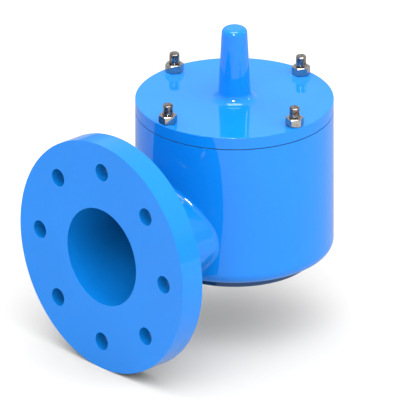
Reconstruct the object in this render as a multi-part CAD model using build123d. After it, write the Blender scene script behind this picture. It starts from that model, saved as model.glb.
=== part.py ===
from build123d import *

import math
import os

# Weight-loaded vacuum relief valve with a side flange, in millimetres, +Z up.
# The origin is the centre of the tank flange's face, which looks along -Y.
# The valve's own axis stands upright at X = 0, Y = face_to_axis, and each piece on it is
# modelled about the Z axis and set there by on_axis.

# Tank flange
flange_r = 118.5
flange_t = 25.5
flange_holes = 8
flange_hole_r = 9.0
flange_circle_r = 90.0
bore_r = 50.0

# Neck between the flange and the chamber: a round collar at the flange, and a low D at the chamber
face_to_axis = 174.5
neck_wall = 9.5
neck_collar = 10.0
neck_reach = 28.0
passage_above = 41.8
passage_below = 15.0
passage_start_y = 20.0
passage_bend = 1.6
passage_sections = 6
neck_body_round = 5.0
neck_flange_round = 9.5

# Chamber
body_r = 97.0
body_wall = 8.0
body_top_z = 105.0
body_bottom_z = -41.0
body_bottom_round = 12.4
floor_t = 11.0

# Cover and its guide dome
cover_t = 12.0
cover_edge_round = 0.5
dome_h = 75.0
dome_base_r = 16.2
dome_top_r = 12.4
dome_foot_round = 8.5
dome_top_round = 5.0
dome_end_t = 7.0
dome_bore_clearance = 1.5
cover_boss_margin = 1.0
cover_boss_round = 6.0
cover_gasket_t = 1.0
cover_gasket_recess = 0.7

# Cover studs and nuts, M10
studs = 4
stud_inset = 1.5
stud_r = 5.0
stud_engaged = 20.0
stud_above_cover = 19.5
stud_point = 1.0
stud_hole_clearance = 0.5
boss_r = 10.5
boss_straight = 28.0
boss_slope = 2.0
nut_flats = 16.0
nut_h = 8.4

# Seat ring, its gasket and its M5 screws
seat_bore_r = 50.0
seat_spigot_wall = 4.8
seat_flange_w = 15.2
seat_flange_t = 8.0
seat_lip_t = 3.5
seat_lip_h = 4.0
seat_lip_round = 0.8
seat_gasket_t = 1.0
seat_screws = 6
small_screw_r = 2.5
small_screw_grip = 6.5
small_head_r = 4.25
small_head_h = 5.0
small_socket_flats = 4.0
small_socket_depth = 2.6
small_head_chamfer = 0.5
sunk_below_face = 0.4

# Inlet ring and screen under the floor
inlet_opening_r = 56.0
screen_ledge = 6.0
inlet_ring_w = 15.2
inlet_ring_t = 9.0
inlet_ring_chamfer = 1.2
inlet_screws = 6
screen_t = 1.0
screen_opening = 7.4
screen_bar = 1.6
screen_rim = 7.5

# Pallet, seal and retainer
pallet_past_lip = 6.5
pallet_t = 6.0
pallet_rim_t = 1.8
pallet_rim_h = 3.0
pallet_boss_r = 17.0
rib_h = 8.0
rib_t = 5.0
rib_end_step = 2.5
ribs = 6
seal_t = 2.0
retainer_t = 4.0
retainer_side_gap = 2.0
retainer_screws = 6
retainer_screw_edge = 12.0
tiny_screw_r = 2.0
tiny_screw_grip = 4.5
tiny_head_r = 3.5
tiny_head_h = 2.2
tiny_socket_flats = 2.5
tiny_socket_depth = 1.3
tiny_head_chamfer = 0.8

# Stem, weights and their nuts, M12
stem_r = 6.0
stem_foot_flats = 24.0
stem_foot_h = 6.0
stem_end_round = 1.5
weights = 3
weight_r = 52.0
weight_t = 10.0
weight_edge = 1.0
lifting_holes = 2
lifting_hole_r = 6.0
lifting_hole_edge = 18.0
weight_washer_r = 12.0
weight_washer_t = 2.5
weight_nut_flats = 18.0
weight_nut_h = 10.8
lock_nut_h = 6.0

# Lift of the pallet, from closed to the lock nut's stop on the bush
lift = 25.0
stop_gap = 0.3
stem_end_gap = 6.0

# Guide bush in the dome
bush_wall = 3.0
bush_flange_w = 14.95
bush_flange_t = 4.0
bush_above_cover = 22.0
bush_screws = 3

# Clearances
thread_clearance = 0.05
running_clearance = 0.05
seated_clearance = 0.1
loose_clearance = 0.3
hex_chamfer = 0.9

# Screw holes run on past the screws' ends, and screws that must miss others are turned
hole_runout = 1.0
turned_by = 30.0

# Heights along the valve's axis, each from the piece below it
floor_top_z = body_bottom_z + floor_t
seat_flange_bottom_z = floor_top_z + seat_gasket_t
seat_flange_top_z = seat_flange_bottom_z + seat_flange_t
seat_z = seat_flange_top_z + seat_lip_h
seal_top_z = seat_z + seal_t
retainer_bottom_z = seat_z - retainer_t
pallet_top_z = seal_top_z + pallet_t
rib_top_z = pallet_top_z + rib_h
weights_top_z = rib_top_z + weights * weight_t
weight_washer_top_z = weights_top_z + weight_washer_t
weight_nut_top_z = weight_washer_top_z + weight_nut_h
lock_nut_top_z = weight_nut_top_z + lock_nut_h
bush_bottom_z = lock_nut_top_z + lift + stop_gap
cover_boss_bottom_z = bush_bottom_z + bush_flange_t
cover_bottom_z = body_top_z + cover_gasket_t
cover_top_z = cover_bottom_z + cover_t
bush_top_z = cover_top_z + bush_above_cover
dome_top_z = cover_top_z + dome_h
dome_bore_top_z = dome_top_z - dome_end_t
stem_top_z = dome_bore_top_z - lift - stem_end_gap
inlet_ring_bottom_z = body_bottom_z - inlet_ring_t

# Radii and screw circles, each from the piece inside it
chamber_r = body_r - body_wall
neck_end_y = face_to_axis - chamber_r + neck_reach
stud_circle_r = chamber_r - stud_inset
seat_spigot_r = seat_bore_r + seat_spigot_wall
seat_flange_r = seat_spigot_r + seat_flange_w
seat_screw_circle_r = (seat_spigot_r + seat_flange_r) / 2
screen_r = inlet_opening_r + screen_ledge
screen_clear_r = screen_r - screen_rim
inlet_rebate_r = screen_r + loose_clearance
inlet_ring_r = inlet_rebate_r + inlet_ring_w
inlet_screw_circle_r = (inlet_rebate_r + inlet_ring_r) / 2
pallet_r = seat_bore_r + seat_lip_t + pallet_past_lip
seal_r = pallet_r - pallet_rim_t - seated_clearance
rib_end_r = pallet_r - rib_end_step
retainer_r = seat_bore_r - retainer_side_gap
retainer_screw_circle_r = retainer_r - retainer_screw_edge
lifting_hole_circle_r = weight_r - lifting_hole_edge
bush_r = stem_r + running_clearance + bush_wall
bush_flange_r = bush_r + bush_flange_w
bush_screw_circle_r = (bush_r + bush_flange_r) / 2
cover_boss_r = bush_flange_r + cover_boss_margin
dome_bore_r = stem_r + dome_bore_clearance


def on_axis(piece):
    """A piece modelled about the Z axis, set on the valve's axis."""
    return Pos(0, face_to_axis, 0) * piece


def around(piece, count, circle_r, start=0.0):
    """Copies of a piece evenly set on a circle about the Z axis."""
    return [place * piece for place in PolarLocations(circle_r, count, start)]


def disc(radius, bottom_z, top_z):
    """An upright cylinder between two heights."""
    return Pos(0, 0, bottom_z) * extrude(Circle(radius), top_z - bottom_z)


def tube(outer_r, inner_r, bottom_z, top_z):
    """An upright tube between two heights."""
    return Pos(0, 0, bottom_z) * extrude(Circle(outer_r) - Circle(inner_r), top_z - bottom_z)


def turned(*points):
    """A solid turned about the Z axis from the corners (radius, height) of its section."""
    return revolve(Plane.XZ * make_face(Polyline(*points, close=True)), Axis.Z)


def hexagon(flats, bottom_z, height, chamfered=True):
    """A hexagon across its flats, with a corner towards +X and its corners turned off."""
    corner_r = flats / math.sqrt(3)
    prism = Pos(0, 0, bottom_z) * extrude(RegularPolygon(corner_r, 6), height)
    if not chamfered:
        return prism
    blank = disc(corner_r, bottom_z, bottom_z + height)
    return prism & chamfer(blank.edges().filter_by(GeomType.CIRCLE), hex_chamfer)


def hexagon_nut(flats, hole_r, bottom_z, height):
    """A hexagon nut, its thread left as a plain hole."""
    return hexagon(flats, bottom_z, height) - disc(hole_r, bottom_z, bottom_z + height)


def socket_screw(shank_r, grip, head, socket):
    """A socket screw that points down, with the underside of its head at z = 0."""
    head_r, head_h, head_chamfer = head
    socket_flats, socket_depth = socket
    head = disc(head_r, 0, head_h)
    head = chamfer(head.edges().group_by(Axis.Z)[-1], head_chamfer)
    socket = hexagon(socket_flats, head_h - socket_depth, socket_depth, chamfered=False)
    return head + disc(shank_r, -grip, 0) - socket


def small_screw(grip):
    """An M5 cap screw."""
    head = (small_head_r, small_head_h, small_head_chamfer)
    return socket_screw(small_screw_r, grip, head, (small_socket_flats, small_socket_depth))


def tiny_screw(grip):
    """An M4 low-head screw."""
    head = (tiny_head_r, tiny_head_h, tiny_head_chamfer)
    return socket_screw(tiny_screw_r, grip, head, (tiny_socket_flats, tiny_socket_depth))


# Valve body


def neck_section(y, width, above, below):
    """The outline across the neck at a distance from the flange's face."""
    across = Plane(origin=(0, y, 0), x_dir=(1, 0, 0), z_dir=(0, -1, 0))
    upper = EllipticalCenterArc((0, 0), width, above, 0, arc_size=180)
    lower = EllipticalCenterArc((0, 0), width, below, 180, arc_size=180)
    return across * make_face(upper + lower)


def neck_outside():
    """The neck's outer form, from the flange to just inside the chamber."""
    collar_y = flange_t + neck_collar
    neck_r = bore_r + neck_wall
    round_end = neck_section(collar_y, neck_r, neck_r, neck_r)
    low_end = neck_section(neck_end_y, neck_r, passage_above + neck_wall, passage_below + neck_wall)
    return flange_disc(neck_r, flange_t, collar_y) + loft([round_end, low_end])


def neck_passage():
    """The air's way through the neck, which bends out of the round bore and ends low and wide."""
    sections = []
    for step in range(passage_sections):
        share = step / (passage_sections - 1)
        low = share**passage_bend
        y = passage_start_y + share * (neck_end_y - passage_start_y)
        above = bore_r + low * (passage_above - bore_r)
        below = bore_r + low * (passage_below - bore_r)
        sections.append(neck_section(y, bore_r, above, below))
    return flange_disc(bore_r, 0, passage_start_y) + loft(sections)


def flange_disc(radius, start_y, end_y):
    """A cylinder about the flange's axis."""
    facing = Plane(origin=(0, end_y, 0), x_dir=(1, 0, 0), z_dir=(0, -1, 0))
    return extrude(facing * Circle(radius), end_y - start_y)


def where_neck_meets_body(edge):
    """The curve round the neck's far end, whose middle lies past the collar."""
    return edge.geom_type == GeomType.BSPLINE and (edge @ 0.5).Y > flange_t + 2 * neck_collar


def where_neck_meets_flange(edge):
    """The collar's own circle on the flange's back."""
    on_back = abs((edge @ 0.5).Y - flange_t) < seated_clearance
    return on_back and edge.length < 2 * math.pi * (bore_r + neck_wall + neck_collar)


def stud_boss():
    """A boss inside the wall, cut off below by a slope that runs out into the wall."""
    straight_z = body_top_z - boss_straight
    slope_end_z = straight_z - 2 * boss_r * boss_slope
    outline = Polyline(
        (-boss_r, body_top_z),
        (-boss_r, straight_z),
        (boss_r, slope_end_z),
        (boss_r, body_top_z),
        close=True,
    )
    sloped = extrude(Plane.XZ * make_face(outline), boss_r, both=True)
    return disc(boss_r, slope_end_z, body_top_z) & sloped


def valve_body():
    blank = disc(body_r, body_bottom_z, body_top_z)
    blank = on_axis(fillet(blank.edges().group_by(Axis.Z)[0], body_bottom_round))
    body = blank + neck_outside()
    body = fillet(body.edges().filter_by(where_neck_meets_body), neck_body_round)
    body += flange_disc(flange_r, 0, flange_t)
    body = fillet(body.edges().filter_by(where_neck_meets_flange), neck_flange_round)

    body -= on_axis(disc(chamber_r, floor_top_z, body_top_z))
    bosses = Part() + around(stud_boss(), studs, stud_circle_r)
    body += on_axis(bosses & disc(body_r - cover_edge_round, body_bottom_z, body_top_z))
    body -= neck_passage()

    hole = flange_disc(flange_hole_r, 0, flange_t)
    for turn in range(flange_holes):
        angle = math.radians(turn * 360 / flange_holes)
        place = Pos(flange_circle_r * math.cos(angle), 0, flange_circle_r * math.sin(angle))
        body -= place * hole

    stud_hole = disc(stud_r + thread_clearance, body_top_z - stud_engaged - hole_runout, body_top_z)
    screw_hole_depth = small_screw_grip + hole_runout
    screw_hole = disc(small_screw_r + thread_clearance, 0, screw_hole_depth)
    seat_screw_hole = Pos(0, 0, floor_top_z - screw_hole_depth) * screw_hole
    inlet_screw_hole = Pos(0, 0, body_bottom_z) * screw_hole
    cuts = around(stud_hole, studs, stud_circle_r)
    cuts += around(seat_screw_hole, seat_screws, seat_screw_circle_r)
    cuts += around(inlet_screw_hole, inlet_screws, inlet_screw_circle_r, turned_by)
    cuts.append(disc(seat_spigot_r + seated_clearance, body_bottom_z, floor_top_z))
    for cut in cuts:
        body -= on_axis(cut)
    return body


# Cover


def cover():
    dome_foot = (dome_base_r, cover_top_z)
    dome_edge = (dome_top_r, dome_top_z)
    rim_top = (body_r, cover_top_z)
    boss_root = (cover_boss_r, cover_bottom_z)
    section = make_face(
        Polyline(
            (0, cover_boss_bottom_z),
            (cover_boss_r, cover_boss_bottom_z),
            boss_root,
            (body_r, cover_bottom_z),
            rim_top,
            dome_foot,
            dome_edge,
            (0, dome_top_z),
            close=True,
        )
    )
    for corner, radius in (
        (dome_foot, dome_foot_round),
        (dome_edge, dome_top_round),
        (rim_top, cover_edge_round),
        (boss_root, cover_boss_round),
    ):
        nearest = section.vertices().sort_by_distance((*corner, 0))[0]
        section = fillet(nearest, radius)
    plate = revolve(Plane.XZ * section, Axis.Z)
    bush_bore_r = bush_r + seated_clearance
    guide_bore = turned(
        (0, cover_boss_bottom_z),
        (bush_bore_r, cover_boss_bottom_z),
        (bush_bore_r, bush_top_z),
        (dome_bore_r, bush_top_z),
        (dome_bore_r, dome_bore_top_z - dome_bore_r / 2),
        (0, dome_bore_top_z),
    )
    plate -= guide_bore
    stud_hole = disc(stud_r + stud_hole_clearance, cover_bottom_z, cover_top_z)
    for hole in around(stud_hole, studs, stud_circle_r):
        plate -= hole
    screw_hole_top_z = cover_boss_bottom_z + tiny_screw_grip + hole_runout
    screw_hole = disc(tiny_screw_r + thread_clearance, cover_boss_bottom_z, screw_hole_top_z)
    for hole in around(screw_hole, bush_screws, bush_screw_circle_r, turned_by):
        plate -= hole
    return on_axis(plate)


def cover_gasket():
    outer_r = body_r - cover_gasket_recess
    ears = [place * Circle(boss_r) for place in PolarLocations(stud_circle_r, studs)]
    stud_hole_r = stud_r + stud_hole_clearance
    holes = [place * Circle(stud_hole_r) for place in PolarLocations(stud_circle_r, studs)]
    outline = Circle(outer_r) - Circle(chamber_r) + (Sketch() + ears & Circle(outer_r)) - holes
    return on_axis(Pos(0, 0, body_top_z) * extrude(outline, cover_gasket_t))


def cover_studs():
    stud = disc(stud_r, body_top_z - stud_engaged, cover_top_z + stud_above_cover)
    stud = chamfer(stud.edges().filter_by(GeomType.CIRCLE), stud_point)
    return [on_axis(copy) for copy in around(stud, studs, stud_circle_r)]


def cover_nuts():
    nut = hexagon_nut(nut_flats, stud_r + thread_clearance, cover_top_z, nut_h)
    places = PolarLocations(stud_circle_r, studs, rotate=False)
    return [on_axis(place * nut) for place in places]


# Air inlet and seat


def seat_ring():
    lip_r = seat_bore_r + seat_lip_t
    ring = turned(
        (seat_bore_r, body_bottom_z + seated_clearance),
        (seat_spigot_r, body_bottom_z + seated_clearance),
        (seat_spigot_r, seat_flange_bottom_z),
        (seat_flange_r, seat_flange_bottom_z),
        (seat_flange_r, seat_flange_top_z),
        (lip_r, seat_flange_top_z),
        (lip_r, seat_z - seat_lip_round),
        (lip_r - seat_lip_round, seat_z),
        (seat_bore_r + seat_lip_round, seat_z),
        (seat_bore_r, seat_z - seat_lip_round),
    )
    shank_hole = disc(small_screw_r + seated_clearance, seat_flange_bottom_z, seat_flange_top_z)
    head_room_z = seat_flange_top_z - small_head_h - sunk_below_face
    head_room = disc(small_head_r + loose_clearance, head_room_z, seat_flange_top_z)
    for hole in around(shank_hole + head_room, seat_screws, seat_screw_circle_r):
        ring -= hole
    return on_axis(ring)


def seat_ring_gasket():
    holes = [
        place * Circle(small_screw_r + seated_clearance)
        for place in PolarLocations(seat_screw_circle_r, seat_screws)
    ]
    outline = Circle(seat_flange_r) - Circle(seat_spigot_r + seated_clearance) - holes
    return on_axis(Pos(0, 0, floor_top_z) * extrude(outline, seat_gasket_t))


def seat_ring_screws():
    under_head_z = seat_flange_top_z - small_head_h - sunk_below_face
    screw = Pos(0, 0, under_head_z) * small_screw(under_head_z - floor_top_z + small_screw_grip)
    return [on_axis(copy) for copy in around(screw, seat_screws, seat_screw_circle_r)]


def inlet_ring():
    rebate_z = body_bottom_z - screen_t
    ring = turned(
        (inlet_opening_r, inlet_ring_bottom_z),
        (inlet_ring_r - inlet_ring_chamfer, inlet_ring_bottom_z),
        (inlet_ring_r, inlet_ring_bottom_z + inlet_ring_chamfer),
        (inlet_ring_r, body_bottom_z),
        (inlet_rebate_r, body_bottom_z),
        (inlet_rebate_r, rebate_z),
        (inlet_opening_r, rebate_z),
    )
    shank_hole = disc(small_screw_r + seated_clearance, inlet_ring_bottom_z, body_bottom_z)
    head_room = disc(
        small_head_r + loose_clearance,
        inlet_ring_bottom_z,
        inlet_ring_bottom_z + small_head_h + sunk_below_face,
    )
    for hole in around(shank_hole + head_room, inlet_screws, inlet_screw_circle_r, turned_by):
        ring -= hole
    return on_axis(ring)


def inlet_ring_screws():
    under_head_z = inlet_ring_bottom_z + small_head_h + sunk_below_face
    grip = body_bottom_z - under_head_z + small_screw_grip
    screw = Pos(0, 0, under_head_z) * Rot(180, 0, 0) * small_screw(grip)
    return [on_axis(copy) for copy in around(screw, inlet_screws, inlet_screw_circle_r, turned_by)]


def inlet_screen():
    pitch = screen_opening + screen_bar
    across = 2 * math.ceil(screen_clear_r / pitch) + 1
    reach = screen_clear_r - screen_opening / math.sqrt(2)
    cells = [
        place * Rectangle(screen_opening, screen_opening)
        for place in GridLocations(pitch, pitch, across, across)
        if math.hypot(place.position.X, place.position.Y) < reach
    ]
    return on_axis(Pos(0, 0, body_bottom_z - screen_t) * extrude(Circle(screen_r) - cells, screen_t))


# Pallet and what rides on it


def pallet():
    stem_hole_r = stem_r + seated_clearance
    plate = turned(
        (stem_hole_r, seal_top_z),
        (pallet_r - pallet_rim_t, seal_top_z),
        (pallet_r - pallet_rim_t, seal_top_z - pallet_rim_h),
        (pallet_r, seal_top_z - pallet_rim_h),
        (pallet_r, pallet_top_z),
        (pallet_boss_r, pallet_top_z),
        (pallet_boss_r, rib_top_z),
        (stem_hole_r, rib_top_z),
    )
    rib_outline = Polyline(
        (pallet_boss_r - rib_t / 2, pallet_top_z),
        (rib_end_r, pallet_top_z),
        (weight_r, rib_top_z),
        (pallet_boss_r - rib_t / 2, rib_top_z),
        close=True,
    )
    rib = extrude(Plane.XZ * make_face(rib_outline), rib_t / 2, both=True)
    for turn in range(ribs):
        plate += Rot(0, 0, turn * 360 / ribs) * rib
    screw_hole_top_z = seal_top_z + tiny_screw_grip + hole_runout
    screw_hole = disc(tiny_screw_r + thread_clearance, seal_top_z, screw_hole_top_z)
    for hole in around(screw_hole, retainer_screws, retainer_screw_circle_r, turned_by):
        plate -= hole
    return on_axis(plate)


def clamped_disc(radius, bottom_z, top_z):
    """A disc between the pallet and the stem's foot, with its stem hole and screw holes."""
    holes = [
        place * Circle(tiny_screw_r + seated_clearance)
        for place in PolarLocations(retainer_screw_circle_r, retainer_screws, turned_by)
    ]
    outline = Circle(radius) - Circle(stem_r + seated_clearance) - holes
    return on_axis(Pos(0, 0, bottom_z) * extrude(outline, top_z - bottom_z))


def pallet_seal():
    return clamped_disc(seal_r, seat_z, seal_top_z)


def seal_retainer():
    return clamped_disc(retainer_r, retainer_bottom_z, seat_z)


def retainer_screws_set():
    grip = retainer_t + seal_t + tiny_screw_grip
    screw = Pos(0, 0, retainer_bottom_z) * Rot(180, 0, 0) * tiny_screw(grip)
    return [on_axis(copy) for copy in around(screw, retainer_screws, retainer_screw_circle_r, turned_by)]


def stem():
    rod = disc(stem_r, retainer_bottom_z, stem_top_z)
    rod = fillet(rod.edges().group_by(Axis.Z)[-1], stem_end_round)
    return on_axis(rod + hexagon(stem_foot_flats, retainer_bottom_z - stem_foot_h, stem_foot_h))


def weight_disc(place_in_stack):
    bottom_z = rib_top_z + place_in_stack * weight_t
    blank = disc(weight_r, bottom_z, bottom_z + weight_t)
    weight = chamfer(blank.edges().filter_by(GeomType.CIRCLE), weight_edge)
    weight -= disc(stem_r + loose_clearance, bottom_z, bottom_z + weight_t)
    lifting_hole = disc(lifting_hole_r, bottom_z, bottom_z + weight_t)
    for hole in around(lifting_hole, lifting_holes, lifting_hole_circle_r):
        weight -= hole
    return on_axis(weight)


def weight_washer():
    return on_axis(tube(weight_washer_r, stem_r + loose_clearance, weights_top_z, weight_washer_top_z))


def stem_nut(bottom_z, height):
    return on_axis(hexagon_nut(weight_nut_flats, stem_r + thread_clearance, bottom_z, height))


# Guide bush


def guide_bush():
    bush = turned(
        (stem_r + running_clearance, bush_bottom_z),
        (bush_flange_r, bush_bottom_z),
        (bush_flange_r, cover_boss_bottom_z),
        (bush_r, cover_boss_bottom_z),
        (bush_r, bush_top_z),
        (stem_r + running_clearance, bush_top_z),
    )
    hole = disc(tiny_screw_r + seated_clearance, bush_bottom_z, cover_boss_bottom_z)
    for copy in around(hole, bush_screws, bush_screw_circle_r, turned_by):
        bush -= copy
    return on_axis(bush)


def guide_bush_screws():
    screw = Pos(0, 0, bush_bottom_z) * Rot(180, 0, 0) * tiny_screw(bush_flange_t + tiny_screw_grip)
    return [on_axis(copy) for copy in around(screw, bush_screws, bush_screw_circle_r, turned_by)]


pieces = {
    "valve_body": valve_body(),
    "cover": cover(),
    "cover_gasket": cover_gasket(),
    "cover_studs": cover_studs(),
    "cover_nuts": cover_nuts(),
    "seat_ring": seat_ring(),
    "seat_ring_gasket": seat_ring_gasket(),
    "seat_ring_screws": seat_ring_screws(),
    "inlet_ring": inlet_ring(),
    "inlet_ring_screws": inlet_ring_screws(),
    "inlet_screen": inlet_screen(),
    "guide_bush": guide_bush(),
    "guide_bush_screws": guide_bush_screws(),
    "stem": stem(),
    "pallet": pallet(),
    "pallet_seal": pallet_seal(),
    "seal_retainer": seal_retainer(),
    "retainer_screws": retainer_screws_set(),
    "weight_disc_lower": weight_disc(0),
    "weight_disc_middle": weight_disc(1),
    "weight_disc_upper": weight_disc(2),
    "weight_washer": weight_washer(),
    "weight_nut": stem_nut(weight_washer_top_z, weight_nut_h),
    "weight_lock_nut": stem_nut(weight_nut_top_z, lock_nut_h),
}

os.makedirs("parts", exist_ok=True)
for name, piece in pieces.items():
    shapes = piece if isinstance(piece, list) else [piece]
    solids = [solid for shape in shapes for solid in shape.solids()]
    node = Compound(solids) if len(solids) > 1 else solids[0]
    node.label = name
    export_step(node, f"parts/{name}.step")
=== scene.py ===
import math

import bmesh
import bpy
from bpy.props import FloatProperty, FloatVectorProperty, PointerProperty
from mathutils import Matrix, Vector


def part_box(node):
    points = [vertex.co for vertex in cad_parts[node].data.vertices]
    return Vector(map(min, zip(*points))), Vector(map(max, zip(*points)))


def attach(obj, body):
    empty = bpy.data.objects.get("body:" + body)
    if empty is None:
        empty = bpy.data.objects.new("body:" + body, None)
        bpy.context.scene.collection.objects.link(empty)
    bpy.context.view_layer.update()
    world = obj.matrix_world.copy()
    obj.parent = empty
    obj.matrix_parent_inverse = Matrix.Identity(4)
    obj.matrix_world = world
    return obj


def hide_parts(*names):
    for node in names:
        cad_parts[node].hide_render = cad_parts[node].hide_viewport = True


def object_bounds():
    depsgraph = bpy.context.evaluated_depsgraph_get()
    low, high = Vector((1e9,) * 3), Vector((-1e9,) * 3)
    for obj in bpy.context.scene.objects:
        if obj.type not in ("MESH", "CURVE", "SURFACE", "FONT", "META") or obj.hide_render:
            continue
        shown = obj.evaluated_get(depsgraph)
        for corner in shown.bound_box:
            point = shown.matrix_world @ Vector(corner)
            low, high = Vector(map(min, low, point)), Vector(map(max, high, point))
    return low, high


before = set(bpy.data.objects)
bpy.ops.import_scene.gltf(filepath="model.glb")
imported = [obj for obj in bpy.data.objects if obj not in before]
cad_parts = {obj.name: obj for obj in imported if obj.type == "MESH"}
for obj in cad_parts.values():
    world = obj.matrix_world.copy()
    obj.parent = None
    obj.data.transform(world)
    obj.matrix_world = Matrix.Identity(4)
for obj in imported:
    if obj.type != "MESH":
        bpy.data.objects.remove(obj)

bl_info = {
    "name": "Vacuum Relief Valve",
    "version": (1, 0, 0),
    "blender": (4, 5, 0),
    "location": "3D View > Sidebar > Relief Valve",
    "description": "Dresses a vacuum relief valve: enamel, threaded fasteners, woven screen and stage",
    "category": "Object",
}

MM = 0.001
FULL_TURN = 2 * math.pi
STILL = "housing"
LIFTING = "pallet_assembly"

STUD_R = 5.0 * MM
STEM_R = 6.0 * MM
NUT_ROOM = 0.02 * MM  # between a nut's bore and its thread
NUT_SHARP = 20.0  # degrees, so that chamfers keep their edges
CHAMFER = math.radians(30)
CHAMFER_FACE = 0.472  # radius of a chamfered hexagon's flat end, as a share of its width over flats

ENAMEL_IOR = 1.46
FACING = (0.5, 0.9)  # how squarely a face looks along an axis, from not counted to fully counted

# The room that gloss and metal mirror. Heights are the z of a direction, and 1 is straight up.
WALLS = (0.56, 1.0)  # the darker side and the paler side, at the horizon
UPPER_WALLS = 0.78
UPPER_FROM = 0.3
DOORWAYS = 3
DOORWAY_EDGE = (0.72, 0.86)
DOORWAY_TOP = (0.35, 0.2)
DOORWAY_DARKER = 0.3
SOFTBOX_EDGE = (0.915, 0.955)
SOFTBOX_LIGHT = 8.0
# azimuth, elevation and radius in degrees, and brightness
MIRRORED_LAMPS = ((41, 38, 7.0, 66.0), (154, 26, 4.0, 15.0))
# What gloss mirrors of the floor is painted shade on the darker side and painted light on the paler side.
MIRRORED_FLOOR = (0.57, 1.18)  # on the darker side and the paler side, as a share of the floor's tone

FLOOR_R = 6.0
CAMERA_AWAY = 2.5
LOOKS_AT = Vector((-25.0, 151.75, 7.5)) * MM

cad_low, cad_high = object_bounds()


# Places read from the CAD nodes


def middle(node):
    """The middle of a CAD node's box."""
    low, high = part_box(node)
    return (low + high) / 2


def heights(node):
    """The lowest and highest z of a CAD node."""
    low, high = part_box(node)
    return low.z, high.z


def reach(node):
    """Half the width of a round CAD node."""
    low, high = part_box(node)
    return (high.x - low.x) / 2


VALVE_AXIS = Vector((middle("cover").x, middle("cover").y, 0))


def towards(azimuth, elevation):
    """The direction to a place in the room. Azimuth 0 is in front of the flange, and 90 is at +X."""
    azimuth, elevation = math.radians(azimuth), math.radians(elevation)
    level = math.cos(elevation)
    return Vector((level * math.sin(azimuth), -level * math.cos(azimuth), math.sin(elevation)))


BRIGHT_SIDE = towards(63, 0)


def ring_places(count, circle_r, start=0.0):
    """Evenly set places on a circle about the valve's axis."""
    places = []
    for turn in range(count):
        angle = math.radians(start) + turn * FULL_TURN / count
        places.append(VALVE_AXIS + Vector((circle_r * math.cos(angle), circle_r * math.sin(angle), 0)))
    return places


# Sizes and colours that a user would change


class EnamelSettings(bpy.types.PropertyGroup):
    colour: FloatVectorProperty(
        name="Enamel colour",
        description="Colour of the gloss enamel on the body and the cover",
        subtype="COLOR",
        size=4,
        min=0.0,
        max=1.0,
        default=(0.004, 0.256, 0.9, 1.0),
    )
    # The inlet ring's colour is the body's enamel darkened to stand for the shade under the body: painted
    # shade.
    ring_shade_colour: FloatVectorProperty(
        name="Ring colour",
        description="Colour of the darker gloss enamel on the inlet ring",
        subtype="COLOR",
        size=4,
        min=0.0,
        max=1.0,
        default=(0.004, 0.062, 0.21, 1.0),
    )
    bounce: FloatVectorProperty(
        name="Bounced light",
        description="Colour that the enamel throws on the floor and into its bore, greyer than itself",
        subtype="COLOR",
        size=4,
        min=0.0,
        max=1.0,
        default=(0.09, 0.11, 0.15, 1.0),
    )
    peel: FloatProperty(
        name="Orange peel",
        description="Distance between the faint waves in the sprayed enamel",
        subtype="DISTANCE",
        unit="LENGTH",
        default=3.5 * MM,
        min=0.5 * MM,
    )
    peel_depth: FloatProperty(
        name="Orange peel depth",
        description="Height of the waves in the sprayed enamel",
        subtype="DISTANCE",
        unit="LENGTH",
        default=0.0025 * MM,
        min=0.0,
    )


class FastenerSettings(bpy.types.PropertyGroup):
    stud_pitch: FloatProperty(
        name="Stud thread pitch",
        description="Pitch of the M10 thread on the cover studs",
        subtype="DISTANCE",
        unit="LENGTH",
        default=1.5 * MM,
        min=0.5 * MM,
    )
    stem_pitch: FloatProperty(
        name="Stem thread pitch",
        description="Pitch of the M12 thread on the stem under its nuts",
        subtype="DISTANCE",
        unit="LENGTH",
        default=1.75 * MM,
        min=0.5 * MM,
    )
    steel: FloatVectorProperty(
        name="Fastener steel",
        description="Clean colour of the stainless fasteners",
        subtype="COLOR",
        size=4,
        min=0.0,
        max=1.0,
        default=(0.4, 0.385, 0.365, 1.0),
    )
    stain: FloatVectorProperty(
        name="Handling stain",
        description="Colour of the dull patches on the fasteners",
        subtype="COLOR",
        size=4,
        min=0.0,
        max=1.0,
        default=(0.13, 0.085, 0.055, 1.0),
    )


class ScreenSettings(bpy.types.PropertyGroup):
    wire: FloatProperty(
        name="Wire",
        description="Diameter of the screen's wires",
        subtype="DISTANCE",
        unit="LENGTH",
        default=1.5 * MM,
        min=0.3 * MM,
    )
    mesh: FloatProperty(
        name="Mesh",
        description="Distance between the screen's wires",
        subtype="DISTANCE",
        unit="LENGTH",
        default=9.0 * MM,
        min=2.0 * MM,
    )
    rim: FloatProperty(
        name="Clamped rim",
        description="Width of the flat rim that the inlet ring clamps",
        subtype="DISTANCE",
        unit="LENGTH",
        default=7.5 * MM,
        min=1.0 * MM,
    )


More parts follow.
